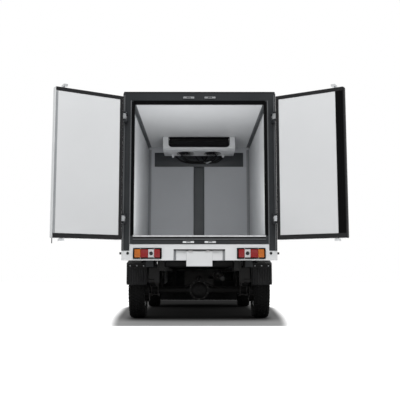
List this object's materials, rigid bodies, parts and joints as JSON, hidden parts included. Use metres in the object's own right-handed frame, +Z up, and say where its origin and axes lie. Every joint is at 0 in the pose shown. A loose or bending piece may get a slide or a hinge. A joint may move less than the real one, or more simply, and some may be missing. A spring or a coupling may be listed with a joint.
{
  "type": "refrigerated truck",
  "caption": "Small refrigerated truck with an insulated load box, two open rear doors, a roof cooling unit, a forward cab and a steered front axle.",
  "frame": {"origin": "on the ground under the middle of the truck's length and width, with its rear doors open as stored", "axes": "+X to the truck's right, +Y forward, +Z up"},
  "size_m": [2.847, 4.7192, 2.394],
  "materials": {
    "white_panel": "semi-gloss white skin",
    "white_paint": "gloss white paint",
    "charcoal_paint": "satin charcoal paint",
    "floor_panel": "grey load floor on dark bearers",
    "black_steel": "matt black chassis paint",
    "bright_steel": "zinc-plated steel",
    "wheel_paint": "silver wheel paint",
    "tyre_rubber": "worn black tyre",
    "rubber": "black rubber",
    "grey_plastic": "grained grey plastic",
    "pale_housing": "pale grey housing",
    "cast_metal": "bare cast metal",
    "exhaust_steel": "heat-dulled steel",
    "lamp_lens": "red, amber and clear lens",
    "clear_lens": "clear lamp lens",
    "window_glass": "lightly tinted glass",
    "seat_cloth": "dark woven cloth"
  },
  "bodies": {
    "chassis": {"rail_left": "black_steel", "rail_right": "black_steel", "runner_left": "black_steel", "runner_right": "black_steel", "box_floor": "floor_panel", "box_wall_left": "white_panel", "box_wall_right": "white_panel", "box_front_wall": "white_panel", "box_roof": "white_panel", "box_rear_frame": "charcoal_paint", "rear_bumper": "white_paint", "tail_lamp_left": "lamp_lens", "tail_lamp_right": "lamp_lens", "evaporator": "pale_housing", "evaporator_hose": "rubber", "condenser_unit": "pale_housing", "rear_axle": "black_steel", "rear_spring_left": "black_steel", "rear_spring_right": "black_steel", "front_suspension": "black_steel", "powertrain": "cast_metal", "fuel_tank": "grey_plastic", "exhaust": "exhaust_steel", "mudguard_left": "rubber", "mudguard_right": "rubber", "cab_shell": "white_paint", "cab_floor": "grey_plastic", "windscreen": "window_glass", "front_bumper": "grey_plastic", "headlamp_left": "clear_lens", "headlamp_right": "clear_lens", "dashboard": "grey_plastic", "steering_wheel": "grey_plastic", "seat_left": "seat_cloth", "seat_right": "seat_cloth"},
    "rear_door_left_body": {"rear_door_left": "white_panel", "lock_gear_left": "bright_steel"},
    "rear_door_right_body": {"rear_door_right": "white_panel", "lock_gear_right": "bright_steel"},
    "cab_door_left_body": {"cab_door_left": "white_paint", "door_glass_left": "window_glass", "mirror_left": "grey_plastic"},
    "cab_door_right_body": {"cab_door_right": "white_paint", "door_glass_right": "window_glass", "mirror_right": "grey_plastic"},
    "steering_left": {"knuckle_left": "cast_metal"},
    "steering_right": {"knuckle_right": "cast_metal"},
    "wheel_front_left": {"tyre_front_left": "tyre_rubber", "rim_front_left": "wheel_paint"},
    "wheel_front_right": {"tyre_front_right": "tyre_rubber", "rim_front_right": "wheel_paint"},
    "wheel_rear_left": {"tyre_rear_left": "tyre_rubber", "rim_rear_left": "wheel_paint"},
    "wheel_rear_right": {"tyre_rear_right": "tyre_rubber", "rim_rear_right": "wheel_paint"}
  },
  "joints": [
    {"name": "rear_door_left_swing", "type": "hinge", "parent": "chassis", "child": "rear_door_left_body", "pos_m": [-0.775, -1.91208, 1.56], "axis": [0, 0, -1], "range_deg": [-150, 105]},
    {"name": "rear_door_right_swing", "type": "hinge", "parent": "chassis", "child": "rear_door_right_body", "pos_m": [0.775, -1.91208, 1.56], "axis": [0, 0, 1], "range_deg": [-150, 105]},
    {"name": "cab_door_left_swing", "type": "hinge", "parent": "chassis", "child": "cab_door_left_body", "pos_m": [-0.786, 2.04792, 1.2], "axis": [0, 0, -1], "range_deg": [0, 65]},
    {"name": "cab_door_right_swing", "type": "hinge", "parent": "chassis", "child": "cab_door_right_body", "pos_m": [0.786, 2.04792, 1.2], "axis": [0, 0, 1], "range_deg": [0, 65]},
    {"name": "steer_left", "type": "hinge", "parent": "chassis", "child": "steering_left", "pos_m": [-0.58, 1.62192, 0.308], "axis": [0, 0, 1], "range_deg": [-32, 32]},
    {"name": "steer_right", "type": "hinge", "parent": "chassis", "child": "steering_right", "pos_m": [0.58, 1.62192, 0.308], "axis": [0, 0, 1], "range_deg": [-32, 32]},
    {"name": "wheel_front_left_spin", "type": "hinge", "parent": "steering_left", "child": "wheel_front_left", "pos_m": [-0.685, 1.62192, 0.308], "axis": [1, 0, 0], "continuous": true},
    {"name": "wheel_front_right_spin", "type": "hinge", "parent": "steering_right", "child": "wheel_front_right", "pos_m": [0.685, 1.62192, 0.308], "axis": [1, 0, 0], "continuous": true},
    {"name": "wheel_rear_left_spin", "type": "hinge", "parent": "chassis", "child": "wheel_rear_left", "pos_m": [-0.685, -1.07808, 0.308], "axis": [1, 0, 0], "continuous": true},
    {"name": "wheel_rear_right_spin", "type": "hinge", "parent": "chassis", "child": "wheel_rear_right", "pos_m": [0.685, -1.07808, 0.308], "axis": [1, 0, 0], "continuous": true}
  ],
  "couplings": [
    {"joint": "steer_right", "follows": "steer_left", "ratio": 1}
  ]
}
